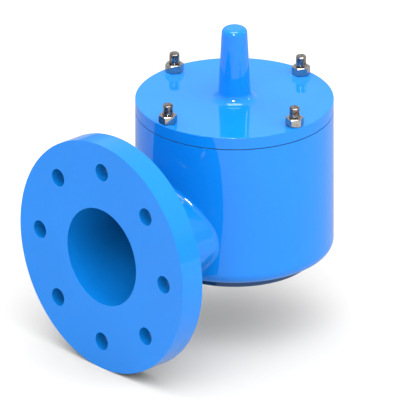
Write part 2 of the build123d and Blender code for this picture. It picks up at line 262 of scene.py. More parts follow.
class StageSettings(bpy.types.PropertyGroup):
    frame_height: FloatProperty(
        name="Picture height",
        description="Height of what the level camera takes in",
        subtype="DISTANCE",
        unit="LENGTH",
        default=390.4 * MM,
        min=1 * MM,
    )
    azimuth: FloatProperty(
        name="Camera azimuth",
        description="How far the camera stands round from the flange's own direction",
        subtype="ANGLE",
        default=math.radians(47.94),
    )
    elevation: FloatProperty(
        name="Camera elevation",
        description="How far the camera looks down",
        subtype="ANGLE",
        default=math.radians(23.93),
    )
    front_lamp: FloatProperty(
        name="Front lamp",
        description="Share of the light on a facing surface that the wide lamp in front gives",
        default=0.53,
        min=0.0,
    )
    side_lamp: FloatProperty(
        name="Side lamp",
        description="Share of the light on a facing surface that the wide lamp at the right gives",
        default=0.25,
        min=0.0,
    )
    left_lamp: FloatProperty(
        name="Left lamp",
        description="Share of the light on a facing surface that the low lamp at the left gives",
        default=0.21,
        min=0.0,
    )
    room: FloatProperty(
        name="Room light",
        description="Brightness of the room at the horizon",
        default=0.33,
        min=0.0,
    )
    ceiling: FloatProperty(
        name="Ceiling light",
        description="How much brighter the room is overhead",
        default=1.5,
        min=0.0,
    )
    floor_tone: FloatProperty(
        name="Floor tone",
        description="Share of light that the pale floor gives back",
        default=0.6,
        min=0.0,
        max=1.0,
    )
    floor_white: FloatProperty(
        name="Floor white",
        description="How much paler the camera sees the floor",
        default=1.24,
        min=1.0,
        max=1.4,
    )


# Node helpers


def put(tree, kind, sockets=None, **settings):
    """A node with its settings and its unlinked inputs."""
    made = tree.nodes.new(kind)
    for name, value in settings.items():
        setattr(made, name, value)
    for name, value in (sockets or {}).items():
        made.inputs[name].default_value = value
    return made


def join(tree, out_socket, *in_sockets):
    """Links one output to one or more inputs."""
    for in_socket in in_sockets:
        tree.links.new(out_socket, in_socket)


def new_group(name, inputs, outputs):
    """A shader node group with named sockets. Returns the tree, its input node and its output node."""
    tree = bpy.data.node_groups.new(name, "ShaderNodeTree")
    for label, kind, default in inputs:
        socket = tree.interface.new_socket(label, in_out="INPUT", socket_type=kind)
        if default is not None:
            socket.default_value = default
    for label, kind in outputs:
        tree.interface.new_socket(label, in_out="OUTPUT", socket_type=kind)
    return tree, tree.nodes.new("NodeGroupInput"), tree.nodes.new("NodeGroupOutput")


def noise(tree, vector, scale, detail=2.0, roughness=0.5, dimensions="3D"):
    """A noise texture on a coordinate, at so many waves to the metre."""
    made = put(
        tree,
        "ShaderNodeTexNoise",
        {"Scale": scale, "Detail": detail, "Roughness": roughness},
        noise_dimensions=dimensions,
    )
    join(tree, vector, made.inputs["W" if dimensions == "1D" else "Vector"])
    return made


def spread(tree, value, low, high, out_low=0.0, out_high=1.0):
    """Maps a range of a value to another range, held at its ends."""
    made = put(
        tree,
        "ShaderNodeMapRange",
        {"From Min": low, "From Max": high, "To Min": out_low, "To Max": out_high},
        clamp=True,
    )
    join(tree, value, made.inputs["Value"])
    return made.outputs["Result"]


def sums(tree, operation, first, second):
    """A Math node on two sockets or numbers."""
    made = put(tree, "ShaderNodeMath", operation=operation)
    for place, value in enumerate((first, second)):
        if isinstance(value, (int, float)):
            made.inputs[place].default_value = value
        else:
            join(tree, value, made.inputs[place])
    return made.outputs[0]


def grey(value):
    """A grey as a colour with alpha."""
    return (value, value, value, 1.0)


def blend_colours(tree, factor, first, second):
    """A mix of two colours, each a socket or a value."""
    made = put(tree, "ShaderNodeMix", data_type="RGBA")
    join(tree, factor, made.inputs["Factor"])
    for socket, value in ((made.inputs[6], first), (made.inputs[7], second)):
        if isinstance(value, bpy.types.NodeSocket):
            join(tree, value, socket)
        else:
            socket.default_value = value
    return made.outputs[2]


# Effects shared by the materials, as node groups


def enamel_skin_group():
    """Sprayed gloss enamel: orange peel, slow waves over the casting and a faint change of depth."""
    tree, given, gives = new_group(
        "Enamel skin",
        [
            ("Vector", "NodeSocketVector", None),
            ("Enamel", "NodeSocketColor", (0.0, 0.2, 0.8, 1.0)),
            ("Peel waves per metre", "NodeSocketFloat", 300.0),
        ],
        [("Colour", "NodeSocketColor"), ("Roughness", "NodeSocketFloat"), ("Height", "NodeSocketFloat")],
    )
    depth = noise(tree, given.outputs["Vector"], 14.0, 3.0)
    thin = put(tree, "ShaderNodeHueSaturation", {"Value": 0.955})
    join(tree, given.outputs["Enamel"], thin.inputs["Color"])
    shade = spread(tree, depth.outputs["Fac"], 0.35, 0.65)
    colour = blend_colours(tree, shade, given.outputs["Enamel"], thin.outputs["Color"])
    join(tree, colour, gives.inputs["Colour"])
    haze = noise(tree, given.outputs["Vector"], 55.0, 4.0, 0.6)
    join(tree, spread(tree, haze.outputs["Fac"], 0.3, 0.75, 0.015, 0.04), gives.inputs["Roughness"])
    peel = noise(tree, given.outputs["Vector"], 300.0, 1.0)
    join(tree, given.outputs["Peel waves per metre"], peel.inputs["Scale"])
    wave = noise(tree, given.outputs["Vector"], 45.0, 1.0)
    lifted = sums(tree, "MULTIPLY", wave.outputs["Fac"], 3.0)
    join(tree, sums(tree, "ADD", peel.outputs["Fac"], lifted), gives.inputs["Height"])
    return tree


def turned_rings_group():
    """Fine rings left by a lathe, which also catch the light on flat faces."""
    tree, given, gives = new_group(
        "Turned rings",
        [
            ("Vector", "NodeSocketVector", None),
            ("Rings per metre", "NodeSocketFloat", 2500.0),
        ],
        [("Height", "NodeSocketFloat"), ("Streak", "NodeSocketFloat")],
    )
    parts = put(tree, "ShaderNodeSeparateXYZ")
    join(tree, given.outputs["Vector"], parts.inputs["Vector"])
    radius = sums(
        tree,
        "SQRT",
        sums(
            tree,
            "ADD",
            sums(tree, "MULTIPLY", parts.outputs["X"], parts.outputs["X"]),
            sums(tree, "MULTIPLY", parts.outputs["Y"], parts.outputs["Y"]),
        ),
        0.0,
    )
    along = sums(tree, "ADD", radius, parts.outputs["Z"])
    rings = noise(tree, along, 2500.0, 2.0, 0.7, "1D")
    join(tree, given.outputs["Rings per metre"], rings.inputs["Scale"])
    join(tree, rings.outputs["Fac"], gives.inputs["Height"])
    bands = noise(tree, along, 240.0, 3.0, 0.6, "1D")
    join(tree, bands.outputs["Fac"], gives.inputs["Streak"])
    return tree


def handling_stain_group():
    """Dull patches and specks that handling leaves on bright metal."""
    tree, given, gives = new_group(
        "Handling stain",
        [
            ("Vector", "NodeSocketVector", None),
            ("Patches per metre", "NodeSocketFloat", 300.0),
            ("Cover", "NodeSocketFloat", 0.5),
        ],
        [("Stain", "NodeSocketFloat"), ("Grain", "NodeSocketFloat")],
    )
    patches = noise(tree, given.outputs["Vector"], 300.0, 5.0, 0.62)
    join(tree, given.outputs["Patches per metre"], patches.inputs["Scale"])
    bare = sums(tree, "SUBTRACT", 1.0, given.outputs["Cover"])
    over = sums(tree, "SUBTRACT", patches.outputs["Fac"], sums(tree, "MULTIPLY", bare, 0.8))
    join(tree, spread(tree, over, 0.0, 0.16), gives.inputs["Stain"])
    grain = noise(tree, given.outputs["Vector"], 1800.0, 3.0, 0.7)
    join(tree, grain.outputs["Fac"], gives.inputs["Grain"])
    return tree


def cast_grain_group():
    """The grain of a sand-cast skin, with small pits."""
    tree, given, gives = new_group(
        "Cast grain",
        [
            ("Vector", "NodeSocketVector", None),
            ("Grains per metre", "NodeSocketFloat", 700.0),
        ],
        [("Height", "NodeSocketFloat"), ("Pits", "NodeSocketFloat")],
    )
    grain = noise(tree, given.outputs["Vector"], 700.0, 4.0, 0.65)
    join(tree, given.outputs["Grains per metre"], grain.inputs["Scale"])
    pits = put(tree, "ShaderNodeTexVoronoi", {"Scale": 420.0, "Randomness": 1.0}, feature="F1")
    join(tree, given.outputs["Vector"], pits.inputs["Vector"])
    hollow = spread(tree, pits.outputs["Distance"], 0.05, 0.3)
    join(tree, hollow, gives.inputs["Pits"])
    height = sums(tree, "ADD", grain.outputs["Fac"], sums(tree, "MULTIPLY", hollow, 0.6))
    join(tree, height, gives.inputs["Height"])
    return tree


# Materials


def new_material(name):
    """A material with its Principled shader, its tree and a coordinate centred on the valve's axis."""
    material = bpy.data.materials.new(name)
    material.use_nodes = True
    tree = material.node_tree
    shader = tree.nodes["Principled BSDF"]
    place = put(tree, "ShaderNodeTexCoord")
    centred = put(tree, "ShaderNodeMapping", {"Location": tuple(-VALVE_AXIS)})
    join(tree, place.outputs["Object"], centred.inputs["Vector"])
    return material, tree, shader, centred.outputs["Vector"]


def use_group(tree, name, vector, **values):
    """A shared effect placed in a material with its own values."""
    made = put(tree, "ShaderNodeGroup")
    made.node_tree = bpy.data.node_groups[name]
    join(tree, vector, made.inputs["Vector"])
    for label, value in values.items():
        made.inputs[label.replace("_", " ")].default_value = value
    return made


def bump(tree, shader, height, depth):
    """Feeds a height to the shader's normal, at a real depth."""
    made = put(tree, "ShaderNodeBump", {"Strength": 1.0, "Distance": depth})
    join(tree, height, made.inputs["Height"])
    join(tree, made.outputs["Normal"], shader.inputs["Normal"])


def throws_blue(tree, vector):
    """Where enamel throws its own blue on what stands near: the flange's upper back and the cover's top."""
    place = put(tree, "ShaderNodeSeparateXYZ")
    join(tree, vector, place.inputs["Vector"])
    faces = put(tree, "ShaderNodeSeparateXYZ")
    join(tree, put(tree, "ShaderNodeNewGeometry").outputs["Normal"], faces.inputs["Vector"])
    by_flange = spread(tree, place.outputs["Y"], -100 * MM, -110 * MM)
    raised = sums(tree, "MULTIPLY", by_flange, spread(tree, place.outputs["Z"], -60 * MM, 0.0))
    back = sums(tree, "MULTIPLY", raised, spread(tree, faces.outputs["Y"], *FACING))
    on_cover = spread(tree, place.outputs["Z"], 100 * MM, 110 * MM)
    top = sums(tree, "MULTIPLY", on_cover, spread(tree, faces.outputs["Z"], *FACING))
    return sums(tree, "ADD", back, top)


def enamel(name, colour):
    """Gloss enamel. Most of it throws a greyer light than its colour."""
    settings = bpy.context.scene.valve_enamel
    material, tree, shader, vector = new_material(name)
    skin = use_group(tree, "Enamel skin", vector, Enamel=colour, Peel_waves_per_metre=1 / settings.peel)
    thrown = blend_colours(tree, throws_blue(tree, vector), settings.bounce, skin.outputs["Colour"])
    rays = put(tree, "ShaderNodeLightPath")
    seen = blend_colours(tree, rays.outputs["Is Diffuse Ray"], skin.outputs["Colour"], thrown)
    join(tree, seen, shader.inputs["Base Color"])
    join(tree, skin.outputs["Roughness"], shader.inputs["Roughness"])
    shader.inputs["IOR"].default_value = ENAMEL_IOR
    bump(tree, shader, skin.outputs["Height"], settings.peel_depth)
    return material


def fastener_steel(name, patches, cover):
    """Stainless steel with handling stain, of so many patches to the metre."""
    settings = bpy.context.scene.valve_fasteners
    material, tree, shader, vector = new_material(name)
    stain = use_group(tree, "Handling stain", vector, Patches_per_metre=patches, Cover=cover)
    colour = blend_colours(tree, stain.outputs["Stain"], settings.steel, settings.stain)
    join(tree, colour, shader.inputs["Base Color"])
    join(tree, spread(tree, stain.outputs["Stain"], 0.0, 1.0, 0.1, 0.34), shader.inputs["Roughness"])
    shader.inputs["Metallic"].default_value = 1.0
    bump(tree, shader, stain.outputs["Grain"], 0.012 * MM)
    return material


def turned_steel(name, colour, rings, smooth, rough):
    """Bright steel with lathe rings, between two roughnesses."""
    material, tree, shader, vector = new_material(name)
    lathe = use_group(tree, "Turned rings", vector, Rings_per_metre=rings)
    dull = tuple(channel * 0.78 for channel in colour[:3]) + (1.0,)
    streaks = spread(tree, lathe.outputs["Streak"], 0.3, 0.7)
    join(tree, blend_colours(tree, streaks, colour, dull), shader.inputs["Base Color"])
    join(tree, spread(tree, lathe.outputs["Streak"], 0.25, 0.75, smooth, rough), shader.inputs["Roughness"])
    shader.inputs["Metallic"].default_value = 1.0
    bump(tree, shader, lathe.outputs["Height"], 0.006 * MM)
    return material


def weight_iron():
    """Cast iron discs, turned and oiled."""
    material, tree, shader, vector = new_material("Oiled turned iron")
    lathe = use_group(tree, "Turned rings", vector, Rings_per_metre=1200.0)
    cast = use_group(tree, "Cast grain", vector, Grains_per_metre=500.0)
    shade = blend_colours(tree, lathe.outputs["Streak"], (0.2, 0.195, 0.19, 1.0), (0.1, 0.1, 0.105, 1.0))
    pitted = blend_colours(tree, cast.outputs["Pits"], (0.05, 0.045, 0.04, 1.0), shade)
    join(tree, pitted, shader.inputs["Base Color"])
    join(tree, spread(tree, lathe.outputs["Streak"], 0.2, 0.8, 0.3, 0.55), shader.inputs["Roughness"])
    shader.inputs["Metallic"].default_value = 0.9
    rings = sums(tree, "MULTIPLY", lathe.outputs["Height"], 0.6)
    bump(tree, shader, sums(tree, "ADD", rings, cast.outputs["Height"]), 0.03 * MM)
    return material


def cast_aluminium():
    """The pallet's sand-cast skin."""
    material, tree, shader, vector = new_material("Sand-cast aluminium")
    cast = use_group(tree, "Cast grain", vector, Grains_per_metre=900.0)
    tone = noise(tree, vector, 60.0, 4.0, 0.6)
    shade = spread(tree, tone.outputs["Fac"], 0.3, 0.7)
    skin = blend_colours(tree, shade, (0.66, 0.67, 0.68, 1.0), (0.5, 0.505, 0.51, 1.0))
    pitted = blend_colours(tree, cast.outputs["Pits"], (0.3, 0.3, 0.3, 1.0), skin)
    join(tree, pitted, shader.inputs["Base Color"])
    join(tree, spread(tree, tone.outputs["Fac"], 0.3, 0.7, 0.42, 0.6), shader.inputs["Roughness"])
    shader.inputs["Metallic"].default_value = 1.0
    bump(tree, shader, cast.outputs["Height"], 0.08 * MM)
    return material


def gasket_sheet():
    """Dark gasket sheet with short fibres."""
    material, tree, shader, vector = new_material("Pressed gasket sheet")
    fibres = put(tree, "ShaderNodeMapping", {"Scale": (1.0, 0.25, 1.0), "Rotation": (0.0, 0.0, 0.6)})
    join(tree, vector, fibres.inputs["Vector"])
    fleck = noise(tree, fibres.outputs["Vector"], 1400.0, 4.0, 0.7)
    mask = spread(tree, fleck.outputs["Fac"], 0.52, 0.72)
    colour = blend_colours(tree, mask, (0.018, 0.02, 0.024, 1.0), (0.09, 0.095, 0.1, 1.0))
    join(tree, colour, shader.inputs["Base Color"])
    join(tree, spread(tree, fleck.outputs["Fac"], 0.3, 0.7, 0.85, 0.7), shader.inputs["Roughness"])
    bump(tree, shader, fleck.outputs["Fac"], 0.02 * MM)
    return material


def seal_rubber():
    """Smooth black rubber with a faint bloom."""
    material, tree, shader, vector = new_material("Moulded seal rubber")
    bloom = noise(tree, vector, 90.0, 5.0, 0.6)
    mask = spread(tree, bloom.outputs["Fac"], 0.45, 0.75)
    colour = blend_colours(tree, mask, (0.012, 0.012, 0.013, 1.0), (0.05, 0.05, 0.052, 1.0))
    join(tree, colour, shader.inputs["Base Color"])
    join(tree, spread(tree, bloom.outputs["Fac"], 0.3, 0.7, 0.42, 0.62), shader.inputs["Roughness"])
    skin = noise(tree, vector, 2200.0, 2.0)
    bump(tree, shader, skin.outputs["Fac"], 0.008 * MM)
    return material


def bush_polymer():
    """Off-white turned polymer."""
    material, tree, shader, vector = new_material("Turned guide polymer")
    lathe = use_group(tree, "Turned rings", vector, Rings_per_metre=900.0)
    cloud = noise(tree, vector, 120.0, 3.0)
    shade = spread(tree, cloud.outputs["Fac"], 0.3, 0.7)
    colour = blend_colours(tree, shade, (0.82, 0.79, 0.7, 1.0), (0.72, 0.69, 0.6, 1.0))
    join(tree, colour, shader.inputs["Base Color"])
    join(tree, spread(tree, lathe.outputs["Streak"], 0.3, 0.7, 0.3, 0.48), shader.inputs["Roughness"])
    shader.inputs["Subsurface Weight"].default_value = 0.15
    shader.inputs["Subsurface Scale"].default_value = 1.5 * MM
    bump(tree, shader, lathe.outputs["Height"], 0.015 * MM)
    return material


def brighter_side(tree, vector):
    """How far a direction points to the brighter side of the room, from -1 to 1."""
    level = put(tree, "ShaderNodeVectorMath", operation="MULTIPLY")
    level.inputs[1].default_value = (1.0, 1.0, 0.0)
    join(tree, vector, level.inputs[0])
    unit = put(tree, "ShaderNodeVectorMath", operation="NORMALIZE")
    join(tree, level.outputs["Vector"], unit.inputs[0])
    along = put(tree, "ShaderNodeVectorMath", operation="DOT_PRODUCT")
    along.inputs[1].default_value = BRIGHT_SIDE
    join(tree, unit.outputs["Vector"], along.inputs[0])
    return along.outputs["Value"]


def floor_sheet():
    """The pale floor: white paper to the camera, with painted shade on one side and painted light on the
    other in what gloss mirrors of it.
    """
    settings = bpy.context.scene.valve_stage
    material, tree, shader, vector = new_material("Pale studio floor")
    rays = put(tree, "ShaderNodeLightPath")
    tone = settings.floor_tone
    grain = noise(tree, vector, 25.0, 2.0)
    paper = blend_colours(tree, grain.outputs["Fac"], grey(tone), grey(tone * 0.985))
    # Painted shade and light: for gloss, the floor is darker away from the room's brighter side and paler
    # towards it.
    side = spread(tree, brighter_side(tree, vector), -1.0, 1.0)
    painted_mirror_shade_and_light = blend_colours(tree, side, *(grey(tone * share) for share in MIRRORED_FLOOR))
    unseen = blend_colours(tree, rays.outputs["Is Glossy Ray"], paper, painted_mirror_shade_and_light)
    seen = blend_colours(tree, rays.outputs["Is Camera Ray"], unseen, grey(tone * settings.floor_white))
    join(tree, seen, shader.inputs["Base Color"])
    shader.inputs["Roughness"].default_value = 1.0
    shader.inputs["Specular IOR Level"].default_value = 0.0
    return material


# Modelling helpers


def turned(bm, section, steps=32, closed=True):
    """Spins (radius, height) corners about the Z axis. An open section starts and ends on the axis."""
    corners = [bm.verts.new((radius, 0, height)) for radius, height in section]
    follow = corners[1:] + corners[:1] if closed else corners[1:]
    edges = [bm.edges.new(pair) for pair in zip(corners, follow)]
    bmesh.ops.spin(
        bm,
        geom=corners + edges,
        cent=(0, 0, 0),
        axis=(0, 0, 1),
        dvec=(0, 0, 0),
        angle=FULL_TURN,
        steps=steps,
        use_merge=True,
        use_duplicate=False,
    )
    bmesh.ops.remove_doubles(bm, verts=bm.verts[:], dist=0.0005 * MM)


def cut_off(bm, point, outward):
    """Cuts the shape flat at a plane, and closes the cut."""
    whole = bm.verts[:] + bm.edges[:] + bm.faces[:]
    cut = bmesh.ops.bisect_plane(
        bm, geom=whole, dist=0.0001 * MM, plane_co=point, plane_no=outward, clear_outer=True
    )
    edges = [part for part in cut["geom_cut"] if isinstance(part, bmesh.types.BMEdge)]
    bmesh.ops.holes_fill(bm, edges=edges, sides=0)


def threaded_rod(bm, radius, pitch, low, high, point=0.0, steps=28):
    """A right-hand thread about the Z axis, cut off flat at both ends, with its ends rounded over."""
    root_r = radius - 0.4 * pitch
    start = low - 1.5 * pitch
    corners = []
    for turn in range(math.ceil((high - low) / pitch) + 3):
        foot = start + turn * pitch
        for share, corner_r in ((0.0, root_r), (0.14, root_r), (0.37, radius), (0.77, radius)):
            corners.append(bm.verts.new((corner_r, 0, foot + share * pitch)))
    edges = [bm.edges.new(pair) for pair in zip(corners, corners[1:])]
    bmesh.ops.spin(
        bm,
        geom=corners + edges,
        cent=(0, 0, 0),
        axis=(0, 0, 1),
        dvec=(0, 0, pitch / steps),
        angle=FULL_TURN,
        steps=steps,
        use_merge=False,
        use_duplicate=False,
    )
    bmesh.ops.remove_doubles(bm, verts=bm.verts[:], dist=0.002 * MM)
    cut_off(bm, (0, 0, low), (0, 0, -1))
    cut_off(bm, (0, 0, high), (0, 0, 1))
    for vert in bm.verts:
        end_gap = max(0.0, min(vert.co.z - low, high - vert.co.z))
        if end_gap >= point:
            continue
        limit = radius - point + math.sqrt(point**2 - (point - end_gap) ** 2)
        across = Vector((vert.co.x, vert.co.y, 0))
        if across.length > limit:
            vert.co.x *= limit / across.length
            vert.co.y *= limit / across.length


def chamfered_hexagon(flats):
    """A hexagon's corner radius, the radius of its flat end and the height of the chamfer between them."""
    corner_r = flats / math.sqrt(3)
    face_r = CHAMFER_FACE * flats
    return corner_r, face_r, (corner_r - face_r) * math.tan(CHAMFER)


def hexagon_nut(bm, flats, hole_r, low, high):
    """A nut turned with chamfers and a countersunk hole, then milled, with a corner to +X."""
    corner_r, face_r, drop = chamfered_hexagon(flats)
    sink = 0.7 * MM
    section = [
        (hole_r, low + sink),
        (hole_r + sink, low),
        (face_r, low),
        (corner_r, low + drop),
        (corner_r, high - drop),
        (face_r, high),
        (hole_r + sink, high),
        (hole_r, high - sink),
    ]
    turned(bm, section, steps=48)
    mill_flats(bm, flats)


def mill_flats(bm, flats):
    """Cuts six flats round the Z axis, with a corner to +X."""
    for side in range(6):
        angle = math.radians(30 + 60 * side)
        outward = Vector((math.cos(angle), math.sin(angle), 0))
        cut_off(bm, outward * flats / 2, outward)


def socket_screw(bm, head_r, head_h, head_round, flats, depth, shank_r, grip):
    """A socket screw that points down, with the underside of its head at z = 0."""
    rim_r = head_r - head_round
    slope = head_round * 0.3
    outside = [
        (0, -grip),
        (shank_r - 0.4 * MM, -grip),
        (shank_r, -grip + 0.4 * MM),
        (shank_r, 0),
        (head_r - 0.15 * MM, 0),
        (head_r, 0.15 * MM),
        (head_r, head_h - head_round),
        (head_r - slope, head_h - slope),
        (rim_r, head_h),
    ]
    turned(bm, outside, steps=24, closed=False)
    rim = [edge for edge in bm.edges if edge.is_boundary]
    hexagon = bmesh.ops.create_circle(bm, segments=6, radius=flats / math.sqrt(3))
    bmesh.ops.translate(bm, verts=hexagon["verts"], vec=(0, 0, head_h))
    mouth = [edge for edge in bm.edges if edge.is_wire]
    bmesh.ops.bridge_loops(bm, edges=rim + mouth)
    deep = bmesh.ops.extrude_edge_only(bm, edges=mouth)["geom"]
    floor_verts = [part for part in deep if isinstance(part, bmesh.types.BMVert)]
    bmesh.ops.translate(bm, verts=floor_verts, vec=(0, 0, -depth))
    bmesh.ops.contextual_create(bm, geom=floor_verts)


def take_in(bm, part):
    """Adds a shape made by itself to the rest."""
    mesh = bpy.data.meshes.new("part")
    part.to_mesh(mesh)
    part.free()
    bm.from_mesh(mesh)
    bpy.data.meshes.remove(mesh)


def set_round(bm, places):
    """Copies the shape to each place and leaves none behind."""
    first = bm.verts[:] + bm.edges[:] + bm.faces[:]
    for place in places[1:]:
        copy = bmesh.ops.duplicate(bm, geom=first)["geom"]
        verts = [part for part in copy if isinstance(part, bmesh.types.BMVert)]
        bmesh.ops.translate(bm, verts=verts, vec=place)
    verts = [part for part in first if isinstance(part, bmesh.types.BMVert)]
    bmesh.ops.translate(bm, verts=verts, vec=places[0])


def finished(bm, name, material, node, body, sharp=34.0):
    """Makes the shape an object that stands for a CAD node and moves with its body."""
    bmesh.ops.recalc_face_normals(bm, faces=bm.faces[:])
    mesh = bpy.data.meshes.new(name)
    bm.to_mesh(mesh)
    bm.free()
    mesh.polygons.foreach_set("use_smooth", [True] * len(mesh.polygons))
    mesh.set_sharp_from_angle(angle=math.radians(sharp))
    mesh.materials.append(material)
    piece = bpy.data.objects.new(name, mesh)
    bpy.context.scene.collection.objects.link(piece)
    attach(piece, body)
    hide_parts(node)


def dress(nodes, material):
    """Gives CAD nodes their material and leaves their meshes as they are."""
    for name in nodes:
        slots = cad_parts[name].data.materials
        if len(slots) == 0:
            raise RuntimeError(f"{name} has no material slot")
        slots[0] = material


# One operator for each piece or group of like pieces


class VALVE_OT_effects(bpy.types.Operator):
    """Builds the shared shader effects"""

    bl_idname = "valve.effects"
    bl_label = "Shared finishes"

    def execute(self, context):
        enamel_skin_group()
        turned_rings_group()
        handling_stain_group()
        cast_grain_group()
        return {"FINISHED"}


class VALVE_OT_castings(bpy.types.Operator):
    """Enamels the body, the cover and the inlet ring"""

    bl_idname = "valve.castings"
    bl_label = "Enamelled castings"

    def execute(self, context):
        settings = context.scene.valve_enamel
        dress(("valve_body", "cover"), enamel("Blue gloss enamel", settings.colour))
        # The ring's darker enamel is painted shade for its place under the body.
        dress(("inlet_ring",), enamel("Blue enamel darkened as painted shade", settings.ring_shade_colour))
        return {"FINISHED"}


class VALVE_OT_gaskets(bpy.types.Operator):
    """Gives the gaskets and the pallet's seal their rubber and sheet finishes"""

    bl_idname = "valve.gaskets"
    bl_label = "Gaskets and seal"

    def execute(self, context):
        dress(("cover_gasket", "seat_ring_gasket"), gasket_sheet())
        dress(("pallet_seal",), seal_rubber())
        return {"FINISHED"}


class VALVE_OT_cover_studs(bpy.types.Operator):
    """Cuts the four cover studs with their M10 threads"""

    bl_idname = "valve.cover_studs"
    bl_label = "Cover studs"

    def execute(self, context):
        low, high = heights("cover_studs")
        circle_r = reach("cover_studs") - STUD_R
        bm = bmesh.new()
        threaded_rod(bm, STUD_R, context.scene.valve_fasteners.stud_pitch, low, high, point=1.6 * MM)
        set_round(bm, ring_places(4, circle_r))
        material = fastener_steel("Threaded steel", 420.0, 0.46)
        finished(bm, "threaded_cover_studs", material, "cover_studs", STILL)
        return {"FINISHED"}


class VALVE_OT_cover_nuts(bpy.types.Operator):
    """Makes the four hexagon nuts on the cover"""

    bl_idname = "valve.cover_nuts"
    bl_label = "Cover nuts"

    def execute(self, context):
        low, high = heights("cover_nuts")
        flats = 16.0 * MM
        circle_r = reach("cover_nuts") - flats / math.sqrt(3)
        bm = bmesh.new()
        hexagon_nut(bm, flats, STUD_R + NUT_ROOM, low, high)
        set_round(bm, ring_places(4, circle_r))
        material = fastener_steel("Stainless fastener", 170.0, 0.3)
        finished(bm, "chamfered_cover_nuts", material, "cover_nuts", STILL, NUT_SHARP)
        return {"FINISHED"}


class VALVE_OT_screws(bpy.types.Operator):
    """Makes the four groups of socket screws"""

    bl_idname = "valve.screws"
    bl_label = "Socket screws"

    def execute(self, context):
        material = bpy.data.materials["Stainless fastener"]
        # head radius, height and rounding, the socket's flats and depth, and shank radius
        small = (4.25 * MM, 5.0 * MM, 0.5 * MM, 4.0 * MM, 2.6 * MM, 2.5 * MM)
        tiny = (3.5 * MM, 2.2 * MM, 0.9 * MM, 2.5 * MM, 1.3 * MM, 2.0 * MM)
        # node, head, count, first screw's angle, whether the head is at the bottom, body
        groups = (
            ("seat_ring_screws", small, 6, 0.0, False, STILL),
            ("inlet_ring_screws", small, 6, 30.0, True, STILL),
            ("retainer_screws", tiny, 6, 30.0, True, LIFTING),
            ("guide_bush_screws", tiny, 3, 30.0, True, STILL),
        )
        for node, head, count, start, head_down, body in groups:
            low, high = heights(node)
            head_r, head_h = head[0], head[1]
            circle_r = self.circle_r(node, head_r, count, start)
            bm = bmesh.new()
            socket_screw(bm, *head, grip=high - low - head_h)
            if head_down:
                over = Matrix.Rotation(math.pi, 3, "X")
                bmesh.ops.rotate(bm, verts=bm.verts[:], cent=(0, 0, 0), matrix=over)
                bmesh.ops.translate(bm, verts=bm.verts[:], vec=(0, 0, low + head_h))
            else:
                bmesh.ops.translate(bm, verts=bm.verts[:], vec=(0, 0, high - head_h))
            set_round(bm, ring_places(count, circle_r, start))
            finished(bm, "socket_" + node, material, node, body)
        return {"FINISHED"}

    def circle_r(self, node, head_r, count, start):
        """The circle that a group of screws stands on, from how far its heads reach in Y."""
        low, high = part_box(node)
        sines = [math.sin(math.radians(start) + turn * FULL_TURN / count) for turn in range(count)]
        return (high.y - VALVE_AXIS.y - head_r) / max(sines)


class VALVE_OT_inlet_screen(bpy.types.Operator):
    """Weaves the inlet screen from crimped wires and sets it in its flat rim"""

    bl_idname = "valve.inlet_screen"
    bl_label = "Inlet screen"

    def execute(self, context):
        settings = context.scene.valve_screen
        low, high = heights("inlet_screen")
        outer_r = reach("inlet_screen")
        clear_r = outer_r - settings.rim
        wire_r = settings.wire / 2
        level = high - settings.wire
        bm = bmesh.new()
        turned(bm, [(clear_r, low), (outer_r, low), (outer_r, high), (clear_r, high)], steps=64)
        reach_r = clear_r + 0.7 * MM
        count = math.floor(clear_r / settings.mesh)
        for turned_by in (0, 1):
            for line in range(-count, count + 1):
                offset = line * settings.mesh
                half = math.sqrt(reach_r**2 - offset**2)
                lift = wire_r if (line + turned_by) % 2 else -wire_r
                take_in(bm, self.wire(offset, half, lift, settings.mesh, wire_r, level, turned_by))
        bmesh.ops.translate(bm, verts=bm.verts[:], vec=VALVE_AXIS)
        material = fastener_steel("Drawn screen wire", 500.0, 0.3)
        finished(bm, "woven_inlet_screen", material, "inlet_screen", STILL)
        return {"FINISHED"}

    def wire(self, offset, half, lift, pitch, wire_r, level, turned_by):
        """One wire: a thin rod, divided along its length and crimped over and under the wires it crosses."""
        bm = bmesh.new()
        lying = Matrix.Rotation(math.pi / 2, 4, "Y")
        bmesh.ops.create_cone(
            bm, cap_ends=True, segments=6, radius1=wire_r, radius2=wire_r, depth=2 * half, matrix=lying
        )
        long_edges = [edge for edge in bm.edges if edge.calc_length() > half]
        cuts = max(2, round(8 * half / pitch))
        bmesh.ops.subdivide_edges(bm, edges=long_edges, cuts=cuts, use_grid_fill=False)
        for vert in bm.verts:
            vert.co.z += level + lift * math.cos(math.pi * vert.co.x / pitch)
        bmesh.ops.translate(bm, verts=bm.verts[:], vec=(0, offset, 0))
        quarter = Matrix.Rotation(math.pi / 2 * turned_by, 3, "Z")
        bmesh.ops.rotate(bm, verts=bm.verts[:], cent=(0, 0, 0), matrix=quarter)
        return bm


class VALVE_OT_seat(bpy.types.Operator):
    """Turns the bright finish of the seat ring"""

    bl_idname = "valve.seat"
    bl_label = "Seat ring"

    def execute(self, context):
        dress(("seat_ring",), turned_steel("Lapped seat steel", (0.66, 0.66, 0.65, 1.0), 3000.0, 0.08, 0.24))
        return {"FINISHED"}


class VALVE_OT_pallet(bpy.types.Operator):
    """Finishes the cast pallet and the plate that holds its seal"""

    bl_idname = "valve.pallet"
    bl_label = "Pallet and retainer"

    def execute(self, context):
        dress(("pallet",), cast_aluminium())
        plate = turned_steel("Turned plate steel", (0.6, 0.6, 0.6, 1.0), 2200.0, 0.14, 0.32)
        dress(("seal_retainer", "weight_washer"), plate)
        return {"FINISHED"}


class VALVE_OT_weights(bpy.types.Operator):
    """Finishes the three weight discs"""

    bl_idname = "valve.weights"
    bl_label = "Weight discs"

    def execute(self, context):
        dress(("weight_disc_lower", "weight_disc_middle", "weight_disc_upper"), weight_iron())
        return {"FINISHED"}


